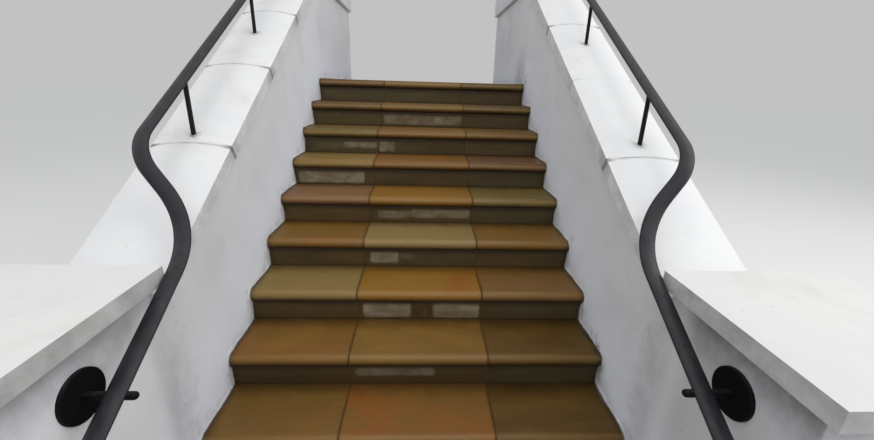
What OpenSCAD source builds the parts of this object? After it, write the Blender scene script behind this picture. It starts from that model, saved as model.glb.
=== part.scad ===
// A straight flight of outdoor stone steps between two rendered side walls.
// The steps climb to a landing at a house wall. Sloped copings cap the side walls,
// a square pedestal stands at the foot of each, and a metal handrail runs up each side.
// Millimetres, +Z up. The origin is on the ground, on the centre line, plumb under the
// landing's nosing. The flight comes down towards -Y, and +Y points at the house.

/* [Flight] */
// Clear width between the side walls
stair_w = 1400; // [1100:10:2200]
// Height of one step
riser = 140; // [115:1:170]
// Depth of one step, nosing to nosing
going = 230; // [200:1:300]
// Number of rises from the ground to the landing
steps = 11; // [9:1:13]
// Depth of the landing, from its nosing to the house wall
landing_depth = 1300; // [900:10:2000]

/* [Stones] */
// Thickness of a tread stone
tread_t = 50; // [35:1:65]
// How far a tread's round nose stands out over its riser stone
nosing = 20; // [10:1:35]
// Thickness of a riser stone
riser_t = 40; // [25:1:60]
// Width of each row's middle stone. The two side stones share the rest
middle_w = 524; // [400:1:700]
// Open joint between two stones
joint = 4; // [2:0.5:8]
// Depth of the landing's nosing stones
landing_nose_d = 430; // [320:10:600]
// Rows of flags behind the landing's nosing stones
flag_rows = 2; // [1:1:4]

/* [Side walls] */
// Thickness of a side wall
wall_t = 225; // [180:5:330]
// Height of a sloped wall top above the line of the nosings
wall_rise = 548; // [480:1:620]
// Height of the landing's wall below its parapet, above the landing
landing_wall_rise = 600; // [570:1:700]

/* [Copings] */
// How far a coping stone stands out over the wall on each side
coping_out = 25; // [10:1:45]
// Thickness of a coping stone at its edges
coping_t = 50; // [35:1:60]
// Rise of a coping stone's cambered top from its edges to its middle
coping_camber = 18; // [6:1:30]
// Length of the lowest coping stone on the left
coping_first_left = 615; // [400:1:700]
// Length of the lowest coping stone on the right
coping_first_right = 591; // [400:1:700]
// Length of the other coping stones
coping_pitch = 535; // [400:1:600]
// Width of the half-round drip groove under what stands out
drip_d = 10; // [6:1:12]

/* [Landing parapets] */
// How far a parapet stands out over the wall under it
parapet_out = 25; // [0:1:50]
// Height of a parapet's top above the landing
parapet_top = 1071; // [1000:1:1200]

/* [Pedestals] */
// Width of a pedestal across the flight
pedestal_w = 365; // [300:5:450]
// Length of a pedestal along the flight
pedestal_l = 426; // [350:1:600]
// Distance from a pedestal's front to the lowest nosing
pedestal_front = 31; // [0:1:60]
// Height of a pedestal with its cap
pedestal_h = 1071; // [1071:1:1250]
// Thickness of a pedestal's or parapet's cap
cap_t = 45; // [35:1:60]
// How far a cap stands out over what carries it
cap_out = 50; // [25:1:60]

/* [Handrail] */
// Width of the rail bar
rail_w = 43; // [40:1:50]
// Thickness of the rail bar at its edges
rail_edge = 5; // [4:1:8]
// Thickness of the rail bar at its crown
rail_crown = 12; // [10:1:18]
// Underside of the upper rail above the line of the nosings
rail_rise = 815; // [760:1:900]
// Underside of the lower rail above the line of the nosings
rail_low_rise = 668; // [640:1:700]
// Gap between the lower rail's middle and the pedestal's face
rail_wall_gap = 76; // [76:1:110]
// Distance up the flight from a pedestal's back to the middle of the rail's S-bend
rail_bend_up = 170; // [165:1:240]
// Length along the flight of the S-bend between its two corners
rail_bend_l = 90; // [80:1:140]
// Radius of the S-bend's upper bend
rail_upper_r = 180; // [100:5:200]
// Radius of the S-bend's lower bend
rail_lower_r = 300; // [150:5:310]
// Distance down the flight from the bracket's middle to the rail's turned end
rail_tail = 250; // [200:1:300]
// Bend radius of the rail's turned end
rail_end_r = 50; // [35:1:70]
// Height of the rail's turned end below its corner
rail_turn_down = 70; // [60:1:90]

/* [Posts and brackets] */
// Diameter of a post
post_d = 16; // [12:1:22]
// Distance from the landing's nosing to the highest post
post_first = 715; // [500:1:760]
// Distance between posts
post_pitch = 662; // [500:1:700]
// Least distance from the lowest post down to the S-bend
post_clear = 120; // [60:10:300]
// Distance down the flight from a pedestal's back to its bracket's middle
bracket_down = 245; // [150:5:300]
// Diameter of the bracket's arm
arm_d = 18; // [12:1:20]
// How far the arm's round end stands out past the rail's middle
arm_out = 41; // [34:1:55]
// Depth of the flat on the arm that the rail lies on
arm_flat = 2; // [1:0.5:3]
// Diameter of a round wall plate
plate_d = 115; // [90:1:130]
// Thickness of a round wall plate
plate_t = 8; // [6:1:12]
// Width of the bevel round a wall plate's face
plate_bevel = 2; // [1:0.5:4]

/* [Hidden] */

$fn = 64;
half_w = stair_w / 2;
pitch = atan(riser / going);
landing_z = steps * riser;
flight_l = (steps - 1) * going;
// Extra length of a piece that a cut trims to its place
spare = 100;
// Larger than the whole model
big = 3 * (flight_l + landing_depth + landing_z);

wall_mid = half_w + wall_t / 2;
pedestal_y = -flight_l - pedestal_front;
pedestal_back = pedestal_y + pedestal_l;

parapet_x = half_w - parapet_out;
parapet_w = wall_t + 2 * parapet_out;
parapet_z = landing_z + landing_wall_rise;

// Stone, render and metal colours
SANDSTONE = "#7d6a45";
RISER_STONE = "#5d5640";
MASONRY = "#77726a";
RENDER_WHITE = "#d2d3d6";
COPING_WHITE = "#ecedef";
RAIL_GREY = "#3d3f45";
IRON_BLACK = "#17181a";

// Front of step i's nosing, and the height of its tread. Step 1 is the lowest
function nose_y(i) = -(steps - i) * going;
function tread_z(i) = i * riser;

// The stones' joints run straight down the whole flight
cuts_x = [-half_w, -middle_w / 2, middle_w / 2, half_w];

// Left and right sides are mirror images
module on_side(side) {
    mirror([side == "left" ? 1 : 0, 0, 0])
        children();
}

// Lays a profile drawn as (Y, Z) across the flight, from x1 to x2
module across(x1, x2) {
    translate([x1, 0, 0])
        rotate([90, 0, 90])
            linear_extrude(x2 - x1)
                children();
}

// One row of stones across the flight with open joints between them
module stone_row() {
    for (k = [0 : len(cuts_x) - 2])
        across(cuts_x[k] + joint / 2, cuts_x[k + 1] - joint / 2)
            children();
}

// A slab with a fully round front edge, drawn from its nose
module nosed_profile(depth) {
    translate([tread_t / 2, 0])
        square([depth - tread_t / 2, tread_t]);
    translate([tread_t / 2, tread_t / 2])
        circle(tread_t / 2);
}

module tread(i) {
    color(SANDSTONE)
        stone_row()
            translate([nose_y(i), tread_z(i) - tread_t])
                nosed_profile(going + nosing + riser_t);
}

// A riser stone stands on the back of the tread below it, and carries the next tread
module riser_stones(i) {
    color(RISER_STONE)
        stone_row()
            translate([nose_y(i) + nosing, tread_z(i - 1)])
                square([riser_t, riser - tread_t]);
}

module landing_nosing() {
    color(SANDSTONE)
        stone_row()
            translate([0, landing_z - tread_t])
                nosed_profile(landing_nose_d);
}

module landing_flags() {
    flag_l = (landing_depth - landing_nose_d) / flag_rows;
    color(SANDSTONE)
        for (row = [0 : flag_rows - 1])
            stone_row()
                translate([landing_nose_d + row * flag_l + joint, landing_z - tread_t])
                    square([flag_l - joint, tread_t]);
}

// Solid masonry that the steps and the landing are bedded on, cut to steps under the treads
module masonry_core() {
    function bed_z(i) = i == 0 ? 0 : tread_z(i) - tread_t;
    stair_line = [for (i = [1 : steps], z = [bed_z(i - 1), bed_z(i)])
        [nose_y(i) + nosing + riser_t, z]];
    color(MASONRY)
        across(-half_w, half_w)
            polygon(concat(stair_line, [[landing_depth, bed_z(steps)], [landing_depth, 0]]));
}

module side_wall(side) {
    foot_z = landing_z + wall_rise + pedestal_back * tan(pitch);
    color(RENDER_WHITE)
        on_side(side)
            across(half_w, half_w + wall_t)
                polygon([
                    [pedestal_back, 0],
                    [pedestal_back, foot_z],
                    [0, landing_z + wall_rise],
                    [0, parapet_z],
                    [landing_depth, parapet_z],
                    [landing_depth, 0]
                ]);
}

// Lays things on a slope that runs along the nosings: X across, Y up it, Z square to it
module on_slope(rise) {
    translate([0, 0, landing_z + rise])
        rotate([pitch, 0, 0])
            children();
}

// The coping's section: flat underneath with two drip grooves, and cambered on top
module coping_section() {
    coping_w = wall_t + 2 * coping_out;
    camber_r = (pow(coping_w / 2, 2) + pow(coping_camber, 2)) / (2 * coping_camber);
    difference() {
        intersection() {
            translate([-coping_w / 2, 0])
                square([coping_w, coping_t + coping_camber]);
            translate([0, coping_t + coping_camber - camber_r])
                circle(camber_r, $fn = 360);
        }
        for (x = [-1, 1] * (wall_t + coping_out) / 2)
            translate([x, 0])
                circle(d = drip_d);
    }
}

// A run of coping from one distance down the slope to another
module coping_run(low, high) {
    on_slope(wall_rise)
        translate([wall_mid, low, 0])
            rotate([90, 0, 180])
                linear_extrude(high - low)
                    coping_section();
}

// The sloped coping ends plumb against the pedestal and against the parapet
module coping(side) {
    first = side == "left" ? coping_first_left : coping_first_right;
    low = pedestal_back / cos(pitch);
    cuts = [for (s = low + first; s < -coping_pitch / 2; s = s + coping_pitch) s];
    ends = concat([low - spare], cuts, [spare]);
    color(COPING_WHITE)
        on_side(side)
            intersection() {
                for (k = [0 : len(ends) - 2])
                    coping_run(ends[k] + joint / 2, ends[k + 1] - joint / 2);
                translate([half_w - big / 2, pedestal_back, 0])
                    cube([big, -pedestal_back, big]);
            }
}

module parapet(side) {
    color(COPING_WHITE)
        on_side(side)
            translate([parapet_x, 0, parapet_z])
                cube([parapet_w, landing_depth, parapet_top - landing_wall_rise - cap_t]);
}

// A flat cap on a block of the given size whose front inner corner is at the origin.
// It stands out on three sides, with a drip groove under each, and its back is flush
module cap(block_w, block_l) {
    drip = cap_out / 2;
    difference() {
        translate([-cap_out, -cap_out, 0])
            cube([block_w + 2 * cap_out, block_l + cap_out, cap_t]);
        for (x = [-drip, block_w + drip])
            translate([x, block_l - drip, 0])
                rotate([90, 0, 0])
                    cylinder(d = drip_d, h = block_l);
        translate([-drip, -drip, 0])
            rotate([0, 90, 0])
                cylinder(d = drip_d, h = block_w + 2 * drip);
    }
}

module parapet_cap(side) {
    color(COPING_WHITE)
        on_side(side)
            translate([parapet_x, 0, landing_z + parapet_top - cap_t])
                cap(parapet_w, landing_depth);
}

module pedestal(side) {
    color(RENDER_WHITE)
        on_side(side)
            translate([half_w, pedestal_y, 0])
                cube([pedestal_w, pedestal_l, pedestal_h - cap_t]);
}

module pedestal_cap(side) {
    color(COPING_WHITE)
        on_side(side)
            translate([half_w, pedestal_y, pedestal_h - cap_t])
                cap(pedestal_w, pedestal_l);
}

// The rail bar's section: flat underneath, crowned on top, its underside's middle at 0
crown_rise = rail_crown - rail_edge;
crown_r = (pow(rail_w / 2, 2) + pow(crown_rise, 2)) / (2 * crown_rise);
crown_half = asin(rail_w / 2 / crown_r);
crown_parts = 8;
rail_section = concat(
    [[rail_w / 2, 0]],
    [for (k = [0 : crown_parts])
        let(a = crown_half * (1 - 2 * k / crown_parts))
            [crown_r * sin(a), rail_crown - crown_r * (1 - cos(a))]],
    [[-rail_w / 2, 0]]
);

// A point of the right-hand rail's underside, x from the centre line, at a height over the nosings
function over_nosings(x, y, rise) = [x, y, landing_z + rise + y * tan(pitch)];
function unit(v) = v / norm(v);

// A corner rounded by an arc, as [point, direction] pairs along the way
arc_step = 5;
function rounded(from, corner, to, radius) =
    let(
        d1 = unit(corner - from),
        d2 = unit(to - corner),
        turn = acos(d1 * d2),
        side = unit(d2 - d1 * (d1 * d2)),
        start = corner - d1 * radius * tan(turn / 2),
        parts = ceil(turn / arc_step)
    )
    [for (k = [0 : parts])
        let(a = turn * k / parts)
            [start + radius * (sin(a) * d1 + (1 - cos(a)) * side), cos(a) * d1 + sin(a) * side]];

rail_x = half_w - rail_wall_gap;
bracket_y = pedestal_back - bracket_down;
bend_y = pedestal_back + rail_bend_up;
rail_slope = [0, -cos(pitch), -sin(pitch)];
rail_top = over_nosings(wall_mid, spare, rail_rise);
rail_corner_1 = over_nosings(wall_mid, bend_y + rail_bend_l / 2, rail_rise);
rail_corner_2 = over_nosings(rail_x, bend_y - rail_bend_l / 2, rail_low_rise);
rail_corner_3 = over_nosings(rail_x, bracket_y - rail_tail, rail_low_rise);
rail_foot = rail_corner_3 - [0, 0, rail_turn_down];

rail_path = concat(
    [[rail_top, rail_slope]],
    rounded(rail_top, rail_corner_1, rail_corner_2, rail_upper_r),
    rounded(rail_corner_1, rail_corner_2, rail_corner_3, rail_lower_r),
    rounded(rail_corner_2, rail_corner_3, rail_foot, rail_end_r),
    [[rail_foot, [0, 0, -1]]]
);

// Sweeps the rail's section along a path, its width kept level
module rail_bar(path) {
    count = len(rail_section);
    slope_up = [0, -sin(pitch), cos(pitch)];
    rings = [for (stop = path)
        let(across = unit(cross(stop[1], slope_up)), up = cross(across, stop[1]))
            for (p = rail_section) stop[0] + across * p[0] + up * p[1]];
    walls = [for (i = [0 : len(path) - 2], k = [0 : count - 1])
        let(next = (k + 1) % count)
            [i * count + k, i * count + next, (i + 1) * count + next, (i + 1) * count + k]];
    last = (len(path) - 1) * count;
    ends = [[for (k = [0 : count - 1]) count - 1 - k], [for (k = [0 : count - 1]) last + k]];
    polyhedron(rings, concat(walls, ends));
}

// The rail bar is cut plumb where it meets the plate on the parapet
module handrail(side) {
    color(RAIL_GREY)
        on_side(side)
            difference() {
                rail_bar(rail_path);
                translate([0, -plate_t, 0])
                    cube(big);
            }
}

// Posts stand on the coping's crown down to the S-bend, and are cut to the rail's slope
module posts(side) {
    color(IRON_BLACK)
        on_side(side)
            difference() {
                for (y = [-post_first : -post_pitch : rail_corner_1.y + post_clear])
                    translate([wall_mid, y, landing_z + wall_rise + coping_t / 2 + y * tan(pitch)])
                        cylinder(d = post_d, h = rail_rise);
                coping_run(-big, big);
                on_slope(rail_rise)
                    translate([0, -big, 0])
                        cube([big, 2 * big, big]);
            }
}

// A round plate with a bevelled rim, its back at 0 and its face towards +Z
module wall_plate() {
    cylinder(d = plate_d, h = plate_t - plate_bevel);
    translate([0, 0, plate_t - plate_bevel])
        cylinder(d1 = plate_d, d2 = plate_d - 2 * plate_bevel, h = plate_bevel);
}

// The arm stands out of the pedestal's face, and the rail lies on a flat on top of it
module bracket(side) {
    arm_z = landing_z + rail_low_rise + bracket_y * tan(pitch) - (arm_d / 2 - arm_flat) / cos(pitch);
    arm_l = rail_wall_gap + arm_out - arm_d / 2;
    color(IRON_BLACK)
        on_side(side)
            difference() {
                translate([half_w, bracket_y, arm_z])
                    rotate([0, -90, 0]) {
                        wall_plate();
                        cylinder(d = arm_d, h = arm_l);
                        translate([0, 0, arm_l])
                            sphere(d = arm_d);
                    }
                on_slope(rail_low_rise)
                    translate([rail_x - rail_w / 2, -big, 0])
                        cube([rail_w, 2 * big, big]);
            }
}

// The plate that holds the rail's upper end to the parapet
module end_plate(side) {
    color(IRON_BLACK)
        on_side(side)
            translate([wall_mid, 0, landing_z + rail_rise + rail_crown / 2])
                rotate([90, 0, 0])
                    wall_plate();
}

for (i = [1 : steps])
    riser_stones(i);
for (i = [1 : steps - 1])
    tread(i);
landing_nosing();
landing_flags();
masonry_core();
for (side = ["left", "right"]) {
    side_wall(side);
    coping(side);
    parapet(side);
    parapet_cap(side);
    pedestal(side);
    pedestal_cap(side);
    handrail(side);
    posts(side);
    bracket(side);
    end_plate(side);
}
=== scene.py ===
"""Outdoor stone steps between two rendered side walls.

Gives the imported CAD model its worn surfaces, pointing, materials, light and camera.
"""

import math
import random

import bmesh
import bpy
from mathutils import Matrix, Vector, noise


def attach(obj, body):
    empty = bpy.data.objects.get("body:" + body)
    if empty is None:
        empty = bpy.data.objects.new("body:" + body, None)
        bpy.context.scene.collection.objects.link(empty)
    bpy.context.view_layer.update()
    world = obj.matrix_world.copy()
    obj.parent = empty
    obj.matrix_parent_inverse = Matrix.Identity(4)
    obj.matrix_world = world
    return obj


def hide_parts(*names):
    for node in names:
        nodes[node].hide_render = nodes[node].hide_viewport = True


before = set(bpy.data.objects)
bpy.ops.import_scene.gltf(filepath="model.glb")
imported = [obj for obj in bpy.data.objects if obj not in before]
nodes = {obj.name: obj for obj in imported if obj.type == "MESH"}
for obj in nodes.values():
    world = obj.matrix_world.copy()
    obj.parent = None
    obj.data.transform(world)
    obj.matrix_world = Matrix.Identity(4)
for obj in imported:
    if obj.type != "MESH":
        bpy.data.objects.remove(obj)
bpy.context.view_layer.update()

# Sizes that the pieces and the patterns follow, in metres. The origin is on the ground below the
# front of the landing's nose, on the centre line, with +Y to the house and +Z up.
RISER = 0.14
GOING = 0.23
STEPS = 11
LANDING = RISER * STEPS
SLOPE = RISER / GOING
PITCH = math.atan(SLOPE)
HALF_W = 0.7
# Half the width of the middle slab of a row
HALF_MIDDLE = 0.262
TREAD_T = 0.05
NOSE_OUT = 0.02
# From a nose's front to the back of the riser stones under it
RISER_BACK = 0.055
# From the landing's nose to the back of its front row, to the joints across it and to where the
# pointing and the render's edge stop, a hair before its end
FRONT_ROW = 0.43
FLAG_JOINTS = (0.432, 0.867)
LANDING_END = 1.298
# Centre line of the side walls, and how far they rise over the slope through the noses
WALL_MID = 0.8125
WALL_RISE = 0.548
COPING_HALF = 0.1375
COPING_EDGE = 0.05
COPING_CAMBER = 0.018
# Where the coping's joints meet its underside, by side
COPING_JOINTS = {-1: (-1.3797, -0.9227, -0.4657), 1: (-1.4002, -0.9432, -0.4862)}
# The joint that thick paint has all but closed
PAINTED_OVER = -0.9432
POST_Y = (-0.715, -1.377)
PEDESTAL_BACK = -1.905
PEDESTAL_TOP = 1.026
# The rail's underside over the slope through the noses, above the coping and beside the pedestal
RAIL_UPPER = 0.815
RAIL_LOWER = 0.668
RAIL_LOWER_X = 0.624
# The rail is cut plumb at its top, against the parapet's plate, and turns down at its foot. The two
# corners of the S-bend lie as far before and behind its middle.
RAIL_TOP_Y = -0.008
RAIL_BEND_Y = PEDESTAL_BACK + 0.17
RAIL_BEND_HALF = 0.045
RAIL_FOOT_Y = PEDESTAL_BACK - 0.495
RAIL_TURN_DOWN = 0.07
UPPER_CURVE, LOWER_CURVE, FOOT_CURVE = 0.18, 0.3, 0.05
MOSS_AT = (HALF_W, -1.55, 4 * RISER)
BLOOM_AT = (HALF_W, 0.16, LANDING + 0.02)
# A CAD mesh's points closer than this are one, and its edges bent more than this are arrises
SAME_POINT = 1e-5
ARRIS_ANGLE = math.radians(40)

# Where the photograph was taken, in metres, and how the camera was held, in radians
EYE = (-0.0014, -2.8224, 1.5203)
EYE_DOWN, EYE_RIGHT, EYE_ROLL = 0.3322, 0.0447, 0.0292
LENS_MM, SENSOR_MM = 16.11, 36
FLOOR_REACH = 60
# Light that the floor gives off towards the camera, and the world's colour as it lights and is seen
FLOOR_LIFT = 0.24
WORLD_LIGHT = (0.53, 0.54, 0.56, 1)
BACKDROP = (0.54, 0.54, 0.54, 1)
# Lamps: (name, place, target, size, watts)
LAMPS = (
    ("sky_panel", (0.5, -1.3, 6.0), (0, -0.9, 0.9), 5.0, 62),
    ("right_panel", (5.2, -2.4, 4.9), (0, -1.0, 1.0), 6.0, 212),
    ("left_panel", (-5.2, -2.4, 4.4), (0, -1.0, 1.0), 6.0, 60),
    ("front_panel", (0.0, -5.2, 4.4), (0, -1.4, 0.7), 2.2, 46),
)


def srgb(r, g, b):
    """A colour written as 0 to 255 in sRGB, as the shader's linear values."""
    channels = [c / 255 for c in (r, g, b)]
    linear = [c / 12.92 if c <= 0.04045 else ((c + 0.055) / 1.055) ** 2.4 for c in channels]
    return tuple(linear) + (1.0,)


TINTS = {
    # Stone: each slab has a ground tint and a second tint that clouds and streaks it
    "plum": srgb(106, 73, 50),
    "rose": srgb(122, 88, 60),
    "rust": srgb(138, 76, 26),
    "ochre": srgb(130, 92, 30),
    "gold": srgb(138, 102, 42),
    "tan": srgb(128, 98, 52),
    "buff": srgb(130, 109, 66),
    "khaki": srgb(126, 104, 58),
    "olive": srgb(102, 86, 46),
    "brown": srgb(113, 83, 36),
    "umber": srgb(84, 61, 20),
    "peat": srgb(88, 68, 36),
    # Dirt, wear, painted highlights and painted shade on the stone
    "soil": srgb(46, 33, 16),
    "slab moss": srgb(46, 43, 18),
    "worn arris and painted highlight": srgb(164, 132, 84),
    "painted shade under nose": srgb(40, 28, 13),
    "pale speck": srgb(176, 160, 124),
    "saw line": srgb(58, 44, 22),
    "low riser darkening": srgb(46, 36, 18),
    "riser soil and nose shadow": srgb(40, 29, 14),
    # Dirt, fresh paint, painted light and painted shade on the render
    "rain run": srgb(184, 185, 190),
    "old patch": srgb(184, 186, 193),
    "fresh paint and painted light": srgb(236, 241, 250),
    "splash": srgb(156, 144, 124),
    "wall moss": srgb(66, 62, 36),
    "rim dust and shade": srgb(168, 158, 140),
    "rim soil and shade": srgb(62, 50, 30),
    "seam band": srgb(150, 151, 156),
    "bloom": srgb(140, 134, 142),
    "wall foot": srgb(150, 142, 128),
    "painted cap shade": srgb(118, 118, 120),
    "render speck": srgb(110, 106, 102),
    # Dirt on the copings and caps
    "weathered": srgb(152, 152, 152),
    "smudge": srgb(190, 186, 181),
    "warm pore": srgb(176, 156, 128),
    "post stain": srgb(140, 138, 138),
    "joint grime": srgb(124, 124, 126),
    "joint line": srgb(76, 72, 68),
    "coping speck": srgb(104, 100, 96),
    "metal dust": srgb(120, 120, 122),
}
# From the left wall to the right: (ground, second, how strongly the second shows)
SLABS = {
    11: (("plum", "peat", 0.6), ("tan", "peat", 0.5), ("peat", "olive", 0.5)),
    10: (("peat", "tan", 0.35), ("brown", "peat", 0.5), ("peat", "olive", 0.4)),
    9: (("olive", "tan", 0.5), ("brown", "ochre", 0.5), ("brown", "peat", 0.5)),
    8: (("khaki", "ochre", 0.55), ("brown", "rust", 0.35), ("plum", "peat", 0.5)),
    7: (("rose", "brown", 0.5), ("ochre", "tan", 0.4), ("olive", "khaki", 0.6)),
    6: (("brown", "ochre", 0.5), ("buff", "khaki", 0.35), ("brown", "ochre", 0.5)),
    5: (("khaki", "buff", 0.4), ("ochre", "gold", 0.5), ("brown", "rose", 0.5)),
    4: (("brown", "rust", 0.3), ("brown", "gold", 0.45), ("umber", "brown", 0.4)),
    3: (("brown", "umber", 0.5), ("brown", "rust", 0.6), ("umber", "brown", 0.5)),
    2: (("brown", "khaki", 0.5), ("tan", "ochre", 0.5), ("brown", "umber", 0.5)),
    1: (("umber", "ochre", 0.5), ("brown", "gold", 0.5), ("ochre", "umber", 0.5)),
}
# Iron stains: (step, from (x, distance behind the nose), to, half width, tint, strength)
STAINS = (
    (3, (-0.25, 0.18), (-0.03, 0.0), 0.046, "rust", 0.42),
    (3, (-0.27, 0.16), (-0.41, -0.01), 0.042, "rust", 0.26),
    (4, (-0.6, 0.04), (-0.42, 0.15), 0.06, "ochre", 0.5),
    (5, (0.14, 0.02), (0.22, 0.2), 0.07, "rust", 0.6),
    (5, (0.42, 0.08), (0.58, 0.15), 0.04, "rose", 0.6),
    (6, (-0.56, 0.02), (-0.36, 0.0), 0.05, "rust", 0.35),
    (8, (-0.16, 0.03), (0.12, 0.05), 0.04, "rust", 0.35),
)
# Cement left on the risers: (step, x from, x to, depth below the tread's top from, to, strength)
SMEARS = (
    (10, -0.250, 0.259, 0.064, 0.130, 0.68),
    (10, -0.600, -0.520, 0.060, 0.090, 0.35),
    (9, -0.640, -0.420, 0.084, 0.118, 0.45),
    (9, -0.470, -0.266, 0.073, 0.112, 0.8),
    (9, -0.258, -0.159, 0.066, 0.132, 0.7),
    (8, -0.681, -0.313, 0.064, 0.134, 0.85),
    (7, -0.225, -0.040, 0.074, 0.120, 0.7),
    (7, -0.050, 0.254, 0.064, 0.115, 0.85),
    (6, -0.238, -0.100, 0.063, 0.124, 0.9),
    (6, -0.110, -0.020, 0.068, 0.110, 0.4),
    (5, -0.243, -0.035, 0.058, 0.132, 1.0),
    (5, 0.014, 0.034, 0.080, 0.128, 0.55),
    (5, 0.054, 0.261, 0.057, 0.134, 0.95),
    (4, -0.242, 0.063, 0.059, 0.104, 0.8),
)
# How far the cement thins out towards its edge
SMEAR_SOFT = 0.016


class Net:
    """A material's node tree, built one node at a time."""

    def __init__(self, name):
        self.material = bpy.data.materials.new(name)
        self.material.use_nodes = True
        self.tree = self.material.node_tree
        self.shader = self.tree.nodes["Principled BSDF"]
        self.place = self.node("ShaderNodeTexCoord").outputs["Object"]

    def node(self, kind, inputs=(), **settings):
        made = self.tree.nodes.new(kind)
        for name, value in settings.items():
            setattr(made, name, value)
        for name, value in dict(inputs).items():
            self.put(made.inputs[name], value)
        return made

    def put(self, socket, value):
        if isinstance(value, bpy.types.NodeSocket):
            self.tree.links.new(value, socket)
        else:
            socket.default_value = value

    def set(self, **values):
        """Sets inputs of the Principled shader, by names with _ for spaces."""
        for name, value in values.items():
            self.put(self.shader.inputs[name.replace("_", " ")], value)

    def math(self, operation, a, b=0.0, clamp=False):
        made = self.node("ShaderNodeMath", {0: a, 1: b}, operation=operation, use_clamp=clamp)
        return made.outputs[0]

    def plus(self, a, b, clamp=False):
        return self.math("ADD", a, b, clamp)

    def minus(self, a, b):
        return self.math("SUBTRACT", a, b)

    def times(self, a, b, clamp=False):
        return self.math("MULTIPLY", a, b, clamp)

    def larger(self, a, b):
        return self.math("MAXIMUM", a, b)

    def absolute(self, value):
        return self.math("ABSOLUTE", value)

    def vector(self, operation, a, b=(0, 0, 0), output="Vector"):
        return self.node("ShaderNodeVectorMath", {0: a, 1: b}, operation=operation).outputs[output]

    def from_point(self, point):
        return self.vector("DISTANCE", self.place, point, "Value")

    def axes(self, vector=None):
        return self.node("ShaderNodeSeparateXYZ", {0: vector or self.place}).outputs[:3]

    def upward(self):
        """How far a face looks up: 1 for level, 0 for plumb, -1 for an underside."""
        return self.axes(self.node("ShaderNodeNewGeometry").outputs["Normal"])[2]

    def moved(self, scale=(1, 1, 1), shift=(0, 0, 0), turn=(0, 0, 0), vector=None):
        inputs = {"Scale": scale, "Location": shift, "Rotation": turn}
        inputs["Vector"] = vector or self.place
        return self.node("ShaderNodeMapping", inputs).outputs[0]

    def noise(self, scale, detail=2.0, rough=0.5, vector=None, warp=0.0):
        inputs = {"Scale": scale, "Detail": detail, "Roughness": rough, "Distortion": warp}
        inputs["Vector"] = vector or self.place
        return self.node("ShaderNodeTexNoise", inputs).outputs[0]

    def ranged(self, kind, value, start, end, low, high):
        inputs = {"Value": value, "From Min": start, "From Max": end, "To Min": low, "To Max": high}
        return self.node("ShaderNodeMapRange", inputs, interpolation_type=kind).outputs[0]

    def step(self, value, low, high):
        """0 below low, 1 above high, and a smooth rise between. It falls when low is the larger."""
        if low > high:
            return self.ranged("SMOOTHSTEP", value, high, low, 1.0, 0.0)
        return self.ranged("SMOOTHSTEP", value, low, high, 0.0, 1.0)

    def spread(self, value, low, high):
        """A value near 0.5 stretched to run from low to high."""
        return self.ranged("LINEAR", value, 0.3, 0.7, low, high)

    def uneven(self, value, pattern, by):
        """A measure pushed to and fro by a pattern, so that an edge drawn by it is ragged."""
        return self.plus(value, self.spread(pattern, -by, by))

    def mix(self, amount, a, b, blend="MIX"):
        made = self.node("ShaderNodeMix", data_type="RGBA", blend_type=blend)
        for socket, value in ((0, amount), (6, a), (7, b)):
            self.put(made.inputs[socket], value)
        return made.outputs[2]

    def stain(self, colour, tint, where, strength=None):
        """Lays one of the tints over a colour, where a mask says."""
        amount = where if strength is None else self.times(where, strength)
        return self.mix(amount, colour, TINTS[tint])

    def contrast(self, colour, value, amount):
        """Lightens and darkens a colour by a value that runs round 0.5."""
        grey = self.node("ShaderNodeCombineColor", {0: value, 1: value, 2: value}).outputs[0]
        return self.mix(amount, colour, grey, "OVERLAY")

    def bump(self, height, depth, strength=1.0, under=None):
        inputs = {"Height": height, "Distance": depth, "Strength": strength}
        if under:
            inputs["Normal"] = under
        return self.node("ShaderNodeBump", inputs).outputs[0]

    def attribute(self, name, output="Color"):
        return self.node("ShaderNodeAttribute", attribute_name=name).outputs[output]

    def streak_at(self, step, start, end, half):
        """A soft streak on one tread, from x and the distance behind the nose to another such."""
        nose = (step - STEPS) * GOING
        one, two = (Vector((x, nose + back, step * RISER)) for x, back in (start, end))
        along = two - one
        turn = -math.atan2(along.y, along.x)
        stretch = (1 / (along.length / 2 + half), 1 / half, 1 / (RISER / 2))
        place = self.vector("SUBTRACT", self.place, (one + two) / 2)
        turned = self.node("ShaderNodeVectorRotate", {"Vector": place, "Angle": turn}).outputs[0]
        away = self.vector("LENGTH", self.vector("MULTIPLY", turned, stretch), output="Value")
        return self.step(self.uneven(away, self.noise(7.0, 4, 0.65), 0.4), 1.2, 0.1)

    def near_steps(self):
        """Distance from a point of a side wall to the outline that the steps draw on it."""
        _, y, z = self.axes()
        row = self.math("FLOOR", self.math("DIVIDE", y, GOING))
        top = self.math("MINIMUM", self.plus(self.times(row, RISER), LANDING), LANDING)
        over = self.minus(z, top)
        ahead = self.minus(self.times(self.plus(row, 1.0), GOING), y)
        higher = self.larger(self.minus(over, RISER), 0.0)
        square = self.plus(self.math("POWER", ahead, 2.0), self.math("POWER", higher, 2.0))
        # Beside the landing there is no next step, so only the drop to it counts
        past = self.times(self.math("GREATER_THAN", y, 0.0), 9.0)
        return self.math("MINIMUM", over, self.plus(self.math("SQRT", square), past))


def moss_near(net):
    """Where damp keeps a strip of moss, at the right end of the fourth tread."""
    away = net.uneven(net.from_point(MOSS_AT), net.noise(26.0, 5, 0.7), 0.03)
    return net.step(away, 0.15, 0.06)


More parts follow.
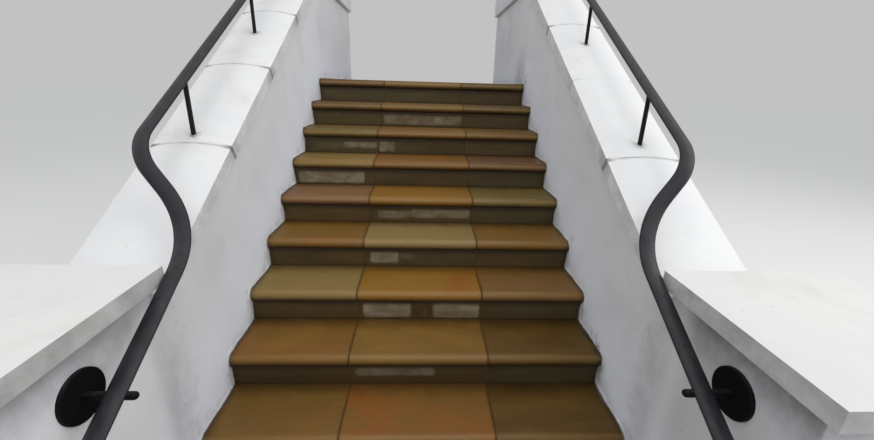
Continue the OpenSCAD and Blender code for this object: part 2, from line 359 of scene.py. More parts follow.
def sandstone():
    """Damp honed sandstone: clouds and streaks in each slab's two tints, saw lines, dirt, wear, and
    painted highlights and shade on the noses.
    """
    net = Net("sandstone_slabs")
    here = net.moved(shift=net.attribute("seed", "Vector"))
    x, y, z = net.axes()
    cloud = net.noise(2.6, 4, 0.55, net.moved((1.0, 2.0, 2.0), vector=here), warp=0.8)
    aslant = net.moved((1.0, 5.5, 3.0), turn=(0, 0, 0.6), vector=here)
    streak = net.noise(3.2, 5, 0.6, aslant, warp=0.4)
    second = net.plus(net.spread(cloud, -0.25, 0.85), net.spread(streak, -0.3, 0.5), clamp=True)
    amount = net.times(second, net.attribute("second", "Alpha"), clamp=True)
    colour = net.mix(amount, net.attribute("ground"), net.attribute("second"))
    for step, start, end, half, tint, strength in STAINS:
        colour = net.stain(colour, tint, net.streak_at(step, start, end, half), strength)
    lines = net.noise(6.0, 3, 0.7, net.moved((0.5, 26.0, 26.0), vector=here))
    grain = net.noise(420.0, 2, 0.6)
    colour = net.contrast(colour, net.spread(lines, 0.4, 0.6), 0.25)
    colour = net.contrast(colour, net.spread(grain, 0.38, 0.62), 0.3)
    # Dirt gathers at the foot of each riser, beside the walls and along the joints
    row = net.math("FLOOR", net.math("DIVIDE", net.plus(z, RISER - TREAD_T), RISER))
    back = net.minus(y, net.times(net.minus(row, float(STEPS)), GOING))
    on_flight = net.step(row, STEPS - 0.4, STEPS - 0.6)
    ragged = net.noise(14.0, 4, 0.65, here)
    foot = net.times(net.step(net.uneven(back, ragged, 0.02), 0.16, 0.255), on_flight)
    side = net.step(net.plus(net.absolute(x), net.times(ragged, 0.03)), 0.68, 0.714)
    joint = net.step(net.absolute(net.minus(net.absolute(x), HALF_MIDDLE)), 0.012, 0.002)
    dirt = net.larger(net.times(foot, 0.55), net.times(side, 0.6))
    colour = net.stain(colour, "soil", net.larger(dirt, net.times(joint, 0.3)))
    moss = net.step(net.plus(x, net.times(ragged, 0.04)), 0.694, 0.712)
    colour = net.stain(colour, "slab moss", net.times(moss, moss_near(net)), 0.8)
    # The walked-on arris of each nose is rubbed paler, and a painted highlight reaches further down
    # its front and shows more strongly on the upper steps
    normal_z = net.upward()
    upper = net.step(z, 0.84, 1.12)
    facing = net.plus(normal_z, net.times(upper, 0.35))
    worn_and_lit = net.times(net.step(facing, 0.99, 0.8), net.step(facing, 0.0, 0.45))
    worn_and_lit = net.times(worn_and_lit, net.step(back, 0.04, 0.03))
    paler = net.times(worn_and_lit, net.plus(net.times(upper, 0.12), 0.2))
    colour = net.stain(colour, "worn arris and painted highlight", paler)
    # Painted shade on the undersides of the noses
    colour = net.stain(colour, "painted shade under nose", net.step(normal_z, 0.1, -0.8), 0.65)
    speck = net.step(net.noise(75.0, 0, 0.5, here), 0.885, 0.9)
    colour = net.stain(colour, "pale speck", speck, 0.4)
    damp = net.noise(5.0, 4, 0.6, here)
    rough = net.minus(net.spread(damp, 0.42, 0.56), net.times(worn_and_lit, 0.16))
    net.set(Base_Color=colour, Roughness=rough, Specular_IOR_Level=0.26)
    sag = net.bump(net.noise(7.0, 2, 0.5, here), 0.0035)
    sawn = net.bump(lines, 0.0008, 0.6, sag)
    net.set(Normal=net.bump(grain, 0.0003, 0.6, sawn))
    return net.material


def riser_stone():
    """Dark stained stone with pale cement smears, dirt beside the walls and painted shadow under
    the noses.
    """
    net = Net("riser_stone_stained")
    seed = net.attribute("seed", "Vector")
    here = net.moved(shift=seed)
    x, _, z = net.axes()
    cloud = net.noise(3.0, 4, 0.6, net.moved((1.0, 1.0, 5.0), vector=here), warp=0.5)
    # A slab of its own shade, from brown to a greenish olive
    shade = net.spread(net.noise(0.9, 0, 0.5, seed), 0.0, 1.0)
    light = net.mix(shade, srgb(94, 72, 38), srgb(86, 77, 47))
    dark = net.mix(shade, srgb(72, 54, 26), srgb(67, 59, 33))
    colour = net.mix(net.spread(cloud, 0.0, 1.0), dark, light)
    lines = net.noise(5.0, 3, 0.7, net.moved((0.6, 1.0, 40.0), vector=here))
    colour = net.stain(colour, "saw line", net.spread(lines, 0.0, 0.4))
    ragged = net.noise(16.0, 5, 0.7, here)
    wear = net.noise(10.0, 4, 0.6, net.moved((1.0, 1.0, 2.4), vector=here))
    smear = net.attribute("smear", "Fac")
    thick = net.times(smear, net.spread(wear, 0.62, 1.1))
    cover = net.times(net.step(net.uneven(smear, ragged, 0.32), 0.1, 1.0), thick, clamp=True)
    cement = net.mix(net.spread(wear, 0.0, 1.0), srgb(132, 116, 90), srgb(156, 145, 122))
    colour = net.mix(cover, colour, cement)
    # The low ones are painted darker towards the bottom of the flight
    colour = net.stain(colour, "low riser darkening", net.step(z, 0.66, 0.48), 0.35)
    # Painted shadow in the corner under the nose, darkening at the foot, and dirt beside the walls
    low = net.math("MODULO", z, RISER)
    under = RISER - TREAD_T
    foot = net.times(net.step(low, 0.014, 0.0), 0.4)
    corner = net.larger(foot, net.step(low, under - 0.03, under - 0.006))
    side = net.step(net.uneven(net.absolute(x), ragged, 0.02), 0.66, 0.7)
    corner = net.larger(net.times(corner, 0.75), net.times(side, 0.5))
    colour = net.stain(colour, "riser soil and nose shadow", corner)
    net.set(Base_Color=colour, Roughness=net.spread(wear, 0.5, 0.72), Specular_IOR_Level=0.35)
    sag = net.bump(net.noise(9.0, 3, 0.5, here), 0.003)
    raised = net.bump(cover, 0.001, 0.6, sag)
    net.set(Normal=net.bump(net.noise(380.0, 2, 0.6), 0.0004, 0.7, raised))
    return net.material


def render_white(name, dark, light, painted_cap_shade=0.0):
    """Painted smooth render: trowel marks, a sand texture, grime and painted shade along the steps,
    rain runs and, for the pedestals, painted shade under the caps.
    """
    net = Net(name)
    x, y, z = net.axes()
    mottle = net.noise(2.4, 4, 0.6, net.moved((1.0, 1.0, 0.55)), warp=0.6)
    colour = net.mix(net.spread(mottle, 0.0, 1.0), dark, light)
    runs = net.noise(5.0, 4, 0.65, net.moved((2.2, 2.2, 0.3)))
    colour = net.stain(colour, "rain run", net.step(runs, 0.5, 0.85), 0.13)
    patch = net.noise(1.7, 5, 0.6, net.moved(shift=(5.0, 2.0, 1.0)), warp=1.0)
    colour = net.stain(colour, "old patch", net.step(patch, 0.5, 0.66), 0.26)
    ragged = net.noise(18.0, 5, 0.7)
    inside = net.step(net.absolute(x), HALF_W + 0.003, HALF_W + 0.0005)
    off = net.near_steps()
    # Beside the steps the render is paler, partly fresh white paint and partly painted light
    # against the shade there; splashes and moss dirty it again in places
    colour = net.stain(colour, "fresh paint and painted light", net.times(net.step(off, 0.34, 0.04), inside), 0.9)
    splash = net.times(net.step(net.uneven(off, ragged, 0.05), 0.045, -0.035), inside)
    colour = net.stain(colour, "splash", splash, 0.36)
    moss = net.times(net.step(net.uneven(off, ragged, 0.03), 0.02, -0.01), moss_near(net))
    colour = net.stain(colour, "wall moss", net.times(moss, inside), 0.75)
    # The render's rim on the stones carries dirt, and painted shade where its upturned face would
    # catch the light
    rim = net.attribute("rim", "Fac")
    colour = net.stain(colour, "rim dust and shade", net.step(rim, 0.02, 0.6), 0.45)
    colour = net.stain(colour, "rim soil and shade", net.step(net.uneven(rim, ragged, 0.2), 0.35, 0.8), 0.92)
    # The wall is darker in a broken band along where the pedestal was built against it
    damp = net.step(net.uneven(y, ragged, 0.04), PEDESTAL_BACK + 0.15, PEDESTAL_BACK)
    damp = net.times(net.times(damp, inside), net.step(y, PEDESTAL_BACK - 0.07, PEDESTAL_BACK))
    broken = net.spread(net.noise(7.0, 4, 0.65, net.moved((1.0, 1.0, 0.4))), 0.1, 0.55)
    colour = net.stain(colour, "seam band", net.times(damp, broken, clamp=True))
    # A dark bloom low on the wall beside the landing
    bloom = net.step(net.uneven(net.from_point(BLOOM_AT), ragged, 0.1), 0.26, 0.02)
    colour = net.stain(colour, "bloom", bloom, 0.5)
    colour = net.stain(colour, "wall foot", net.step(net.uneven(z, ragged, 0.08), 0.16, 0.0), 0.5)
    if painted_cap_shade:
        # Painted shade under the cap's overhang, fading out before the wall
        below = net.uneven(net.minus(PEDESTAL_TOP, z), ragged, 0.02)
        painted_shade = net.times(net.step(below, 0.15, 0.0), painted_cap_shade)
        # The right pedestal's inner face gets a broad painted shade as well
        right_pedestal_shade = net.times(net.step(x, 0.6, 0.69), inside)
        painted_shade = net.plus(painted_shade, net.times(right_pedestal_shade, 0.28))
        painted_shade = net.times(painted_shade, net.step(y, PEDESTAL_BACK - 0.02, PEDESTAL_BACK - 0.12))
        colour = net.stain(colour, "painted cap shade", painted_shade)
    speck = net.step(net.noise(80.0, 0, 0.5), 0.875, 0.885)
    colour = net.stain(colour, "render speck", speck, 0.5)
    net.set(Base_Color=colour, Roughness=0.78, Specular_IOR_Level=0.3)
    sag = net.bump(net.noise(4.5, 2, 0.5, warp=0.4), 0.006)
    trowel = net.bump(net.noise(17.0, 2, 0.5, warp=0.6), 0.0009, 0.8, sag)
    net.set(Normal=net.bump(net.noise(520.0, 2, 0.6), 0.0004, 0.6, trowel))
    return net.material


def coping_white(name, dark, light, worn):
    """Painted cement copings: whiter than the walls, with weathered edges and grey stains."""
    net = Net(name)
    x, y, z = net.axes()
    mottle = net.noise(3.2, 4, 0.6, warp=0.5)
    colour = net.mix(net.spread(mottle, 0.0, 1.0), dark, light)
    ragged = net.noise(22.0, 5, 0.7)
    upright = net.step(net.uneven(net.upward(), ragged, 0.12), 0.55, 0.2)
    patches = net.noise(11.0, 5, 0.7)
    grey = net.times(upright, net.spread(patches, worn - 0.3, worn + 0.3), clamp=True)
    colour = net.stain(colour, "weathered", grey)
    smudge = net.step(net.noise(3.2, 5, 0.65, warp=0.8), 0.52, 0.74)
    colour = net.stain(colour, "smudge", smudge, 0.3)
    # Warm stains in the pores near the edges
    pores = net.step(net.noise(38.0, 4, 0.7), 0.6, 0.72)
    colour = net.stain(colour, "warm pore", net.times(pores, upright), 0.35)
    # Stains round the post feet
    for side in (-1, 1):
        for at in POST_Y:
            foot = (side * WALL_MID, at, LANDING + WALL_RISE + 0.08 + at * SLOPE)
            away = net.uneven(net.from_point(foot), ragged, 0.016)
            colour = net.stain(colour, "post stain", net.step(away, 0.034, 0.008), 0.3)
    # Grime beside each joint, and a fine line along it that is darker at the joint's ends. The
    # joints are square to the slope.
    edge = net.absolute(net.minus(net.absolute(x), WALL_MID))
    ends = net.step(net.uneven(edge, ragged, 0.03), 0.1, 0.135)
    sine, cosine = math.sin(PITCH), math.cos(PITCH)
    up_slope = net.plus(net.times(y, cosine), net.times(z, sine))
    for side, cuts in COPING_JOINTS.items():
        on_side = net.step(net.times(x, side), 0.0, 0.1)
        for cut in cuts:
            level = (LANDING + WALL_RISE + cut * SLOPE) * sine + cut * cosine
            away = net.uneven(net.absolute(net.minus(up_slope, level)), ragged, 0.004)
            grime = net.times(net.step(away, 0.1, 0.0), net.times(on_side, upright))
            grime = net.times(grime, net.spread(patches, 0.0, 0.9), clamp=True)
            line = net.times(net.step(away, 0.013, 0.001), net.times(on_side, net.plus(ends, 0.1)))
            if cut == PAINTED_OVER:
                grime, line = net.times(grime, 0.25), net.times(line, 0.25)
            colour = net.stain(colour, "joint grime", grime, 0.6)
            colour = net.stain(colour, "joint line", line)
    speck = net.step(net.noise(90.0, 0, 0.5), 0.88, 0.89)
    colour = net.stain(colour, "coping speck", speck, 0.5)
    net.set(Base_Color=colour, Roughness=0.62, Specular_IOR_Level=0.35)
    sag = net.bump(net.noise(6.0, 2, 0.5, warp=0.4), 0.002)
    brushed = net.bump(net.noise(30.0, 3, 0.6), 0.0008, 0.7, sag)
    net.set(Normal=net.bump(net.noise(480.0, 2, 0.6), 0.0003, 0.6, brushed))
    return net.material


def rough_masonry():
    """Bedding mortar and brick rubble behind the stones."""
    net = Net("bedding_masonry")
    cells = net.node("ShaderNodeTexVoronoi", {"Vector": net.place, "Scale": 9.0})
    clouds = net.spread(net.noise(7.0, 4, 0.6), 0.0, 1.0)
    colour = net.mix(clouds, srgb(104, 96, 84), srgb(134, 126, 112))
    colour = net.mix(net.step(cells.outputs["Distance"], 0.02, 0.16), srgb(88, 80, 70), colour)
    net.set(Base_Color=colour, Roughness=0.9, Specular_IOR_Level=0.2)
    lumps = net.bump(net.noise(24.0, 5, 0.65), 0.006)
    net.set(Normal=net.bump(net.noise(300.0, 2, 0.6), 0.0008, 0.8, lumps))
    return net.material


def mortar(name, dark, light, scale=40.0):
    """Pointing in a joint, clouded at a scale."""
    net = Net(name)
    colour = net.mix(net.spread(net.noise(scale, 4, 0.65), 0.0, 1.0), dark, light)
    net.set(Base_Color=colour, Roughness=0.85, Specular_IOR_Level=0.25)
    net.set(Normal=net.bump(net.noise(260.0, 3, 0.6), 0.0012))
    return net.material


def painted_metal(name, dark, light, rough, shine):
    """Paint on metal: a faint orange-peel, dust lying on what faces up, and dulled places."""
    net = Net(name)
    colour = net.mix(net.spread(net.noise(9.0, 4, 0.6), 0.0, 1.0), dark, light)
    lying = net.spread(net.noise(26.0, 4, 0.65), 0.0, 0.16)
    dust = net.times(net.step(net.upward(), 0.5, 1.0), lying, clamp=True)
    colour = net.stain(colour, "metal dust", dust)
    dulled = net.spread(net.noise(34.0, 3, 0.6), rough - 0.05, rough + 0.07)
    net.set(Base_Color=colour, Roughness=dulled, Specular_IOR_Level=shine)
    peel = net.bump(net.noise(190.0, 2, 0.5), 0.0003, 0.8)
    net.set(Normal=net.bump(net.noise(11.0, 2, 0.5), 0.0012, 0.6, peel))
    return net.material


def place_new(name, data):
    """A new object in the scene's own collection."""
    made = bpy.data.objects.new(name, data)
    bpy.context.scene.collection.objects.link(made)
    return made


def piece(name, mesh, material, slot, stands_for=None):
    """Puts a mesh into the scene as a piece of the object."""
    made = place_new(name, mesh)
    mesh.materials.clear()
    mesh.materials.append(material)
    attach(made, "root")
    if stands_for:
        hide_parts(stands_for)
    return made


def smooth(made, angle):
    """Smooth shading that keeps the creases, weighted so that big flat faces stay flat."""
    made.data.shade_smooth()
    made.data.set_sharp_from_angle(angle=math.radians(angle))
    flat = made.modifiers.new("flat_faces", "WEIGHTED_NORMAL")
    flat.keep_sharp = True


def worn_copy(node, round_off, segments=3, keep=None):
    """A CAD node's mesh with its arrises worn round, but for those that keep() names."""
    bm = bmesh.new()
    bm.from_mesh(nodes[node].data)
    bmesh.ops.remove_doubles(bm, verts=bm.verts, dist=SAME_POINT)
    coplanar = math.radians(0.3)
    bmesh.ops.dissolve_limit(bm, angle_limit=coplanar, verts=bm.verts, edges=bm.edges)
    arrises = [
        edge
        for edge in bm.edges
        if len(edge.link_faces) == 2
        and edge.calc_face_angle(0) > ARRIS_ANGLE
        and not (keep and keep(edge))
    ]
    bmesh.ops.bevel(
        bm,
        geom=arrises,
        offset=round_off,
        segments=segments,
        profile=0.5,
        affect="EDGES",
        clamp_overlap=True,
    )
    return bm


def mesh_from(bm, name):
    mesh = bpy.data.meshes.new(name)
    bm.to_mesh(mesh)
    bm.free()
    return mesh


def solid_from(bm, name):
    """The mesh of a closed shape, with its faces turned outward."""
    bmesh.ops.recalc_face_normals(bm, faces=bm.faces)
    return mesh_from(bm, name)


def skin(bm, rings):
    """Joins rings of vertices, one to the next, into a tube."""
    for a, b in zip(rings, rings[1:]):
        for k in range(len(a)):
            after = (k + 1) % len(a)
            bm.faces.new((a[k], a[after], b[after], b[k]))


def box_of(bm, low, high):
    """Adds an upright box between two corners."""
    ends = (low, high)
    corners = [bm.verts.new([ends[k >> axis & 1][axis] for axis in range(3)]) for k in range(8)]
    for face in (
        (0, 2, 3, 1),
        (4, 5, 7, 6),
        (0, 1, 5, 4),
        (2, 6, 7, 3),
        (0, 4, 6, 2),
        (1, 3, 7, 5),
    ):
        bm.faces.new([corners[k] for k in face])


def prism(bm, outline, start, along):
    """Adds a solid with a flat outline of vectors at start, carried along a vector."""
    near = [bm.verts.new(start + p) for p in outline]
    far = [bm.verts.new(start + p + along) for p in outline]
    count = len(outline)
    bm.faces.new(near)
    bm.faces.new(reversed(far))
    for k in range(count):
        bm.faces.new((near[k], far[k], far[(k + 1) % count], near[(k + 1) % count]))


def slab_of(x):
    """0, 1 or 2 for the left, middle or right slab of a row."""
    return 0 if x < -HALF_MIDDLE else 2 if x > HALF_MIDDLE else 1


def paint_slabs(mesh, step):
    """Gives each slab of a row its two tints and a shift of its own for the patterns."""
    chooser = random.Random(step)
    shifts = [Vector([chooser.uniform(0, 40) for _ in range(3)]) for _ in range(3)]
    ground = mesh.attributes.new("ground", "FLOAT_COLOR", "CORNER")
    second = mesh.attributes.new("second", "FLOAT_COLOR", "CORNER")
    seed = mesh.attributes.new("seed", "FLOAT_VECTOR", "POINT")
    # The flags behind the landing's front row have its tints
    tints = SLABS.get(step, SLABS[STEPS])
    for face in mesh.polygons:
        one, two, strength = tints[slab_of(face.center.x)]
        for corner in face.loop_indices:
            ground.data[corner].color = TINTS[one]
            second.data[corner].color = TINTS[two][:3] + (strength,)
    for vertex in mesh.vertices:
        seed.data[vertex.index].vector = shifts[slab_of(vertex.co.x)]


def smear_at(step, x, drop):
    """How much cement lies on a riser at a place across it and below the tread's top."""
    most = 0.0
    for row, x1, x2, top, bottom, strength in SMEARS:
        if row == step:
            out_x = max(x1 + SMEAR_SOFT - x, x - x2 + SMEAR_SOFT, 0.0)
            out_z = max(top + SMEAR_SOFT - drop, drop - bottom + SMEAR_SOFT, 0.0)
            full = 1.5 - math.hypot(out_x, out_z) / SMEAR_SOFT
            most = max(most, strength * min(max(full, 0.0), 1.0))
    return most


def grid_front(bm, step):
    """Cuts a row of riser stones finely enough to carry the cement smears."""
    top = step * RISER
    for axis, pitch, low, high in (
        (0, 0.008, -HALF_W, HALF_W),
        (2, 0.006, top - RISER, top - TREAD_T),
    ):
        direction = Vector([float(axis == k) for k in range(3)])
        at = low + pitch
        while at < high:
            everything = bm.verts[:] + bm.edges[:] + bm.faces[:]
            bmesh.ops.bisect_plane(bm, geom=everything, plane_co=direction * at, plane_no=direction)
            at += pitch


def riser_row(step, material):
    """The riser stones of a step, with the cement smears marked on their mesh."""
    bm = worn_copy(f"riser_{step}", 0.0015, 1)
    if any(row == step for row, *_ in SMEARS):
        grid_front(bm, step)
    mesh = mesh_from(bm, f"riser_{step}_stones")
    paint_slabs(mesh, step)
    layer = mesh.attributes.new("smear", "FLOAT", "POINT")
    for vertex in mesh.vertices:
        drop = step * RISER - vertex.co.z
        layer.data[vertex.index].value = smear_at(step, vertex.co.x, drop)
    made = piece(f"riser_{step}_stones", mesh, material, "riser_stone", f"riser_{step}")
    smooth(made, 40)


def stone_joints():
    """Dark pointing between the slabs and beside the walls, kept back from the stones' faces."""
    bm = bmesh.new()
    back_by, half_gap = 0.0014, 0.002
    middle = TREAD_T / 2
    radius = middle - back_by
    for step in range(1, STEPS + 1):
        nose, top = (step - STEPS) * GOING, step * RISER
        depth = FRONT_ROW if step == STEPS else GOING + RISER_BACK
        outline = [Vector((0, depth, middle - radius)), Vector((0, depth, middle + radius))]
        for k in range(13):
            a = math.pi / 2 + math.pi * k / 12
            y, z = radius * math.cos(a), radius * math.sin(a)
            outline.append(Vector((0, middle + y, middle + z)))
        for x, width in (
            (-HALF_W, half_gap),
            (-HALF_MIDDLE - half_gap, 2 * half_gap),
            (HALF_MIDDLE - half_gap, 2 * half_gap),
            (HALF_W - half_gap, half_gap),
        ):
            prism(bm, outline, Vector((x, nose, top - TREAD_T)), Vector((width, 0, 0)))
            front = (x, nose + NOSE_OUT + back_by, top - RISER)
            box_of(bm, front, (x + width, nose + RISER_BACK, top - TREAD_T))
    bed, face = LANDING - TREAD_T, LANDING - back_by
    for x in (-HALF_MIDDLE, HALF_MIDDLE):
        box_of(bm, (x - half_gap, FRONT_ROW, bed), (x + half_gap, LANDING_END, face))
    end = HALF_W - half_gap
    for y in FLAG_JOINTS:
        box_of(bm, (-end, y - half_gap, bed), (end, y + half_gap, face))
    material = mortar("pointing_dark", srgb(72, 50, 22), srgb(98, 70, 34))
    piece("stone_joints", solid_from(bm, "stone_joints"), material, "masonry")


def coping_joints(paint):
    """Pale pointing in the joints between the coping stones, a hair below their tops."""
    radius = (COPING_HALF**2 + COPING_CAMBER**2) / (2 * COPING_CAMBER)
    slope = Vector((0, math.cos(PITCH), math.sin(PITCH)))
    square = Vector((0, -math.sin(PITCH), math.cos(PITCH)))
    pointing, filled = bmesh.new(), bmesh.new()
    for side, cuts in COPING_JOINTS.items():
        for cut in cuts:
            closed = cut == PAINTED_OVER
            below, reach = (0.0003, 0.0055) if closed else (0.0006, 0.003)
            width = COPING_HALF - below
            lowered = COPING_EDGE + COPING_CAMBER - below - radius
            outline = [(-width, below), (width, below)]
            for k in range(25):
                x = width * (1 - k / 12)
                outline.append((x, lowered + math.sqrt(radius**2 - x**2)))
            foot = Vector((side * WALL_MID, cut, LANDING + WALL_RISE + cut * SLOPE)) - slope * reach
            outline = [Vector((x, 0, 0)) + square * up for x, up in outline]
            prism(filled if closed else pointing, outline, foot, slope * 2 * reach)
    pale = mortar("pointing_pale", srgb(112, 110, 108), srgb(222, 222, 221), 16.0)
    piece("coping_joints", solid_from(pointing, "coping_joints"), pale, "white_coping")
    name = "coping_joint_painted_over"
    piece(name, solid_from(filled, name), paint, "white_coping")


def softened(line, pitch, soften):
    """A line of points a pitch apart with its inner corners filled and its noses all but kept."""
    reach = math.ceil(2.5 * soften / pitch)
    soft = []
    for k in range(len(line)):
        near = range(max(k - reach, 0), min(k + reach + 1, len(line)))
        weights = [math.exp(-0.5 * ((j - k) * pitch / soften) ** 2) for j in near]
        mean = sum((line[j] * w for j, w in zip(near, weights)), Vector((0, 0))) / sum(weights)
        moved = mean - line[k]
        along = line[near[-1]] - line[near[0]]
        # Only what moves away from the stone moves in full
        away = moved.dot(Vector((-along.y, along.x))) > 0
        soft.append(line[k] + moved * (1.0 if away else 0.1))
    return soft


def steps_outline(pitch=0.006, soften=0.014):
    """The line that the steps draw on a side wall, from the ground to the landing's end."""
    line = []

    def run(y1, z1, y2, z2):
        count = max(math.ceil(math.hypot(y2 - y1, z2 - z1) / pitch), 1)
        for k in range(count):
            line.append(Vector((y1 + (y2 - y1) * k / count, z1 + (z2 - z1) * k / count)))

    radius = TREAD_T / 2
    for step in range(1, STEPS + 1):
        nose, top = (step - STEPS) * GOING, step * RISER
        run(nose + NOSE_OUT, top - RISER, nose + NOSE_OUT, top - TREAD_T)
        for k in range(1, 13):
            a = math.pi * k / 13
            y, z = nose + radius - radius * math.sin(a), top - radius - radius * math.cos(a)
            line.append(Vector((y, z)))
        run(nose + radius, top, nose + GOING + NOSE_OUT if step < STEPS else LANDING_END, top)
    return softened(line, pitch, soften)


def wall_feather(name, side, material):
    """The render's uneven edge where it was trowelled and painted down onto the stones' ends."""
    line = steps_outline()
    bm = bmesh.new()
    rim = bm.verts.layers.float.new("rim")
    rings = []
    travelled = 0.0
    # How far the skirt goes down behind the stones' outline, and in behind the wall's face
    buried, sunk = -0.011, -0.0015
    for k, point in enumerate(line):
        before, after = line[max(k - 1, 0)], line[min(k + 1, len(line) - 1)]
        travelled += (point - before).length
        along = (after - before).normalized()
        out = Vector((-along.y, along.x))
        wave = noise.noise(Vector((travelled * 9, side * 5.0, 0)))
        chips = noise.noise(Vector((travelled * 70, side * 3.0, 4.0)))
        width = max(0.006 + 0.009 * wave + 0.0022 * chips, 0.0015)
        rise = max(0.017 + 0.005 * wave, 0.008)
        ring = []
        # Rings of the skirt: (how far out from the wall's face, how far up from the steps' outline,
        # how much dirt and painted shade)
        for across, up, dirt_and_shade in (
            (width, buried, 1.0),
            (width, 0.0, 1.0),
            (width * 0.75, rise * 0.08, 0.9),
            (width * 0.45, rise * 0.26, 0.5),
            (width * 0.18, rise * 0.55, 0.25),
            (sunk, rise, 0.0),
            (sunk, buried, 0.0),
        ):
            place = point + out * up
            vert = bm.verts.new((side * (HALF_W - across), place.x, max(place.y, 0.0)))
            vert[rim] = dirt_and_shade
            ring.append(vert)
        rings.append(ring)
    skin(bm, rings)
    bm.faces.new(rings[0])
    bm.faces.new(reversed(rings[-1]))
    name = f"{name}_wall_feather"
    smooth(piece(name, solid_from(bm, name), material, "white_render"), 60)


def build_stones():
    stone, dark = sandstone(), riser_stone()
    stone_joints()
    rows = [(f"tread_{i}", i) for i in range(1, STEPS)]
    rows += [("landing_nosing", STEPS), ("landing_flags", STEPS + 1)]
    for name, step in rows:
        mesh = mesh_from(worn_copy(name, 0.0035), f"{name}_slabs")
        paint_slabs(mesh, step)
        smooth(piece(f"{name}_slabs", mesh, stone, "sandstone", name), 40)
    for step in range(1, STEPS + 1):
        riser_row(step, dark)
    nodes["masonry_core"].material_slots[0].material = rough_masonry()


def on_seam(edge):
    """Along the line where a side wall runs into its pedestal, which the render carries across."""
    return all(abs(v.co.y - PEDESTAL_BACK) < 1e-4 for v in edge.verts)


def build_walls():
    white = render_white("painted_render", srgb(219, 220, 223), srgb(228, 229, 232))
    pedestal = render_white("painted_pedestal", srgb(222, 223, 226), srgb(230, 231, 234), 0.72)
    top = coping_white("painted_coping", srgb(221, 222, 223), srgb(229, 229, 228), 0.2)
    caps = coping_white("painted_cap", srgb(211, 211, 209), srgb(221, 220, 217), 0.6)
    coping_joints(top)
    for name, side in (("left", -1), ("right", 1)):
        wall_feather(name, side, white)
    for side in ("left", "right"):
        for part, round_off, material, slot, keep in (
            ("wall", 0.006, white, "white_render", on_seam),
            ("pedestal", 0.008, pedestal, "white_render", on_seam),
            ("parapet", 0.008, white, "white_coping", None),
            ("coping", 0.0032, top, "white_coping", None),
            ("parapet_cap", 0.005, caps, "white_coping", None),
            ("pedestal_cap", 0.005, caps, "white_coping", None),
        ):
            name = f"{side}_{part}"
            mesh = mesh_from(worn_copy(name, round_off, keep=keep), f"{name}_finish")
            smooth(piece(f"{name}_finish", mesh, material, slot, name), 35)


def rounded(start, corner, end, radius, step=math.radians(2.5)):
    """A corner rounded by an arc, as (point, direction) pairs along the way."""
    one, two = (corner - start).normalized(), (end - corner).normalized()
    turn = one.angle(two)
    side = (two - one * one.dot(two)).normalized()
    first = corner - one * radius * math.tan(turn / 2)
    count = math.ceil(turn / step)
    for k in range(count + 1):
        sine, cosine = math.sin(turn * k / count), math.cos(turn * k / count)
        yield first + radius * (sine * one + (1 - cosine) * side), cosine * one + sine * side


def rail_path(side):
    """The rail's underside from the parapet's plate down to its turned end."""

    def over(x, y, rise):
        return Vector((side * x, y, LANDING + rise + y * SLOPE))

    top = over(WALL_MID, RAIL_TOP_Y, RAIL_UPPER)
    upper = over(WALL_MID, RAIL_BEND_Y + RAIL_BEND_HALF, RAIL_UPPER)
    lower = over(RAIL_LOWER_X, RAIL_BEND_Y - RAIL_BEND_HALF, RAIL_LOWER)
    corner = over(RAIL_LOWER_X, RAIL_FOOT_Y, RAIL_LOWER)
    foot = corner - Vector((0, 0, RAIL_TURN_DOWN))
    yield top, (upper - top).normalized()
    yield from rounded(top, upper, lower, UPPER_CURVE)
    yield from rounded(upper, lower, corner, LOWER_CURVE)
    yield from rounded(lower, corner, foot, FOOT_CURVE)
    yield foot, Vector((0, 0, -1))


def rail_section(width=0.043, edge=0.005, crown=0.012, corner=0.0016):
    """Half-oval handrail section with small rounded corners, as (across, up) points."""
    half, rise = width / 2, crown - edge
    radius = (half * half + rise * rise) / (2 * rise)
    sweep = math.asin((half - corner) / radius)
    right = [
        (half - corner, 0.0),
        (half - corner * 0.3, corner * 0.3),
        (half, corner),
        (half, edge - corner),
        (half - corner * 0.3, edge - corner * 0.15),
    ]
    angles = [sweep * (1 - k / 8) for k in range(17)]
    top = [(radius * math.sin(a), crown - radius * (1 - math.cos(a))) for a in angles]
    left = [(-x, y) for x, y in reversed(right)]
    return right + top + left


def handrail(name, side, material):
    section = rail_section()
    bm = bmesh.new()
    rings = []
    slope_up = Vector((0, -math.sin(PITCH), math.cos(PITCH)))
    for point, direction in rail_path(side):
        level = direction.cross(slope_up).normalized()
        up = level.cross(direction)
        ring = [point + level * a + up * b for a, b in section]
        if not rings:
            # Cut plumb against the plate
            ring = [p + direction * ((RAIL_TOP_Y - p.y) / direction.y) for p in ring]
        rings.append([bm.verts.new(p) for p in ring])
    skin(bm, rings)
    bm.faces.new(reversed(rings[0]))
    bm.faces.new(rings[-1])
    mesh = solid_from(bm, f"{name}_handrail_bar")
    made = piece(f"{name}_handrail_bar", mesh, material, "rail_paint", f"{name}_handrail")
    smooth(made, 50)


def post_feet(name, side, material):
    """A low uneven collar of sealant where each post goes into its coping."""
    bm = bmesh.new()
    around, camber_radius = 28, 0.529
    # Outward from the post: (radius, height)
    profile = ((0.0075, 0.0035), (0.0095, 0.003), (0.012, 0.0012), (0.0145, -0.0015))
    crown = (COPING_EDGE + COPING_CAMBER) / math.cos(PITCH)
    for at in POST_Y:
        centre = Vector((side * WALL_MID, at, LANDING + WALL_RISE + crown + at * SLOPE))
        rings = []
        for radius, rise in profile:
            ring = []
            for k in range(around):
                a = 2 * math.pi * k / around
                wave = noise.noise(Vector((math.cos(a), math.sin(a), at * 7 + side)))
                reach = radius * (1 + 0.25 * wave)
                dx, dy = reach * math.cos(a), reach * math.sin(a)
                up = dy * SLOPE + rise - dx * dx / (2 * camber_radius)
                ring.append(bm.verts.new(centre + Vector((dx, dy, up))))
            rings.append(ring)
        skin(bm, rings)
    name = f"{name}_post_feet"
    made = piece(name, solid_from(bm, name), material, "white_coping")
    made.data.shade_smooth()


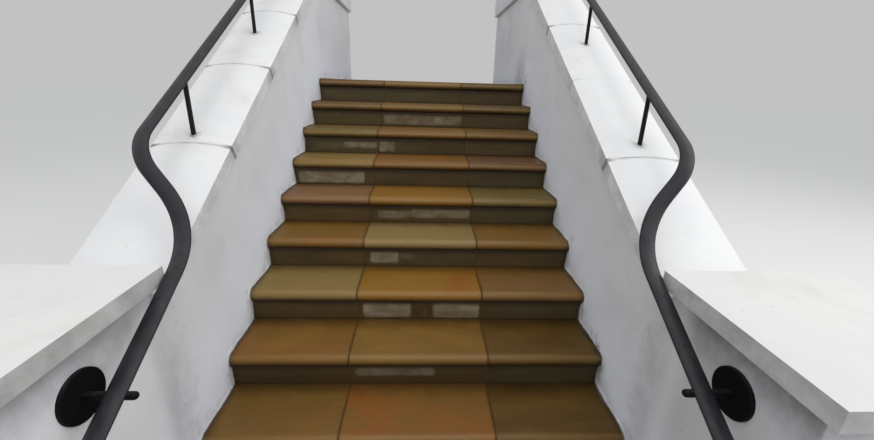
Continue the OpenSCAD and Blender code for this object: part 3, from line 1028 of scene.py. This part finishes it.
def build_metal():
    rail = painted_metal("rail_anthracite", srgb(23, 24, 29), srgb(31, 32, 37), 0.44, 0.3)
    iron = painted_metal("iron_black", srgb(17, 17, 18), srgb(24, 24, 25), 0.55, 0.2)
    black = painted_metal("bracket_black", srgb(9, 9, 10), srgb(15, 15, 16), 0.6, 0.12)
    collar = mortar("post_sealant", srgb(150, 150, 150), srgb(196, 196, 196))
    for name, side in (("left", -1), ("right", 1)):
        handrail(name, side, rail)
        post_feet(name, side, collar)
        for part, paint in (("posts", iron), ("bracket", black), ("end_plate", iron)):
            nodes[f"{name}_{part}"].material_slots[0].material = paint


def build_floor():
    """A plain pale floor, lifted a little towards white where the camera sees it."""
    mesh = bpy.data.meshes.new("floor")
    signs = ((-1, -1), (1, -1), (1, 1), (-1, 1))
    corners = [(x * FLOOR_REACH, y * FLOOR_REACH, 0) for x, y in signs]
    mesh.from_pydata(corners, [], [(0, 1, 2, 3)])
    floor = place_new("floor", mesh)
    ground = Net("pale_floor")
    ground.set(Base_Color=srgb(196, 196, 194), Roughness=0.9, Specular_IOR_Level=0.0)
    seen = ground.node("ShaderNodeLightPath").outputs["Is Camera Ray"]
    lift = ground.times(seen, FLOOR_LIFT)
    ground.set(Emission_Color=(1.0, 1.0, 1.0, 1.0), Emission_Strength=lift)
    mesh.materials.append(ground.material)


def build_light():
    """Soft light from all round, with panels above, at the sides and in front."""
    world = bpy.data.worlds.new("soft_light")
    world.use_nodes = True
    bpy.context.scene.world = world
    tree = world.node_tree
    rays = tree.nodes.new("ShaderNodeLightPath")
    shown = tree.nodes.new("ShaderNodeMix")
    shown.data_type = "RGBA"
    seen = tree.nodes.new("ShaderNodeMath")
    seen.operation = "MAXIMUM"
    tree.links.new(rays.outputs["Is Camera Ray"], seen.inputs[0])
    tree.links.new(rays.outputs["Is Glossy Ray"], seen.inputs[1])
    tree.links.new(seen.outputs[0], shown.inputs[0])
    # The camera and mirrors see the backdrop, and everything else gets the light
    shown.inputs[6].default_value = WORLD_LIGHT
    shown.inputs[7].default_value = BACKDROP
    tree.links.new(shown.outputs[2], tree.nodes["Background"].inputs["Color"])

    for name, place, target, size, watts in LAMPS:
        data = bpy.data.lights.new(name, "AREA")
        data.shape, data.size, data.energy = "SQUARE", size, watts
        lamp = place_new(name, data)
        lamp.location = place
        aim = Vector(target) - Vector(place)
        lamp.rotation_euler = aim.to_track_quat("-Z", "Y").to_euler()


def build_camera():
    """The camera where the photograph was taken, held as it was."""
    data = bpy.data.cameras.new("camera")
    data.sensor_width, data.lens = SENSOR_MM, LENS_MM
    data.clip_start, data.clip_end = 0.02, 300
    camera = place_new("camera", data)
    level = math.cos(EYE_DOWN)
    ahead = (math.sin(EYE_RIGHT) * level, math.cos(EYE_RIGHT) * level, -math.sin(EYE_DOWN))
    ahead = Vector(ahead)
    flat = Vector((math.cos(EYE_RIGHT), -math.sin(EYE_RIGHT), 0))
    square = flat.cross(ahead)
    right = math.cos(EYE_ROLL) * flat + math.sin(EYE_ROLL) * square
    up = -math.sin(EYE_ROLL) * flat + math.cos(EYE_ROLL) * square
    turned = Matrix((right, up, -ahead)).transposed()
    camera.matrix_world = Matrix.LocRotScale(Vector(EYE), turned, None)
    bpy.context.scene.camera = camera
    bpy.context.scene.view_settings.view_transform = "Standard"


build_stones()
build_walls()
build_metal()
build_floor()
build_light()
build_camera()
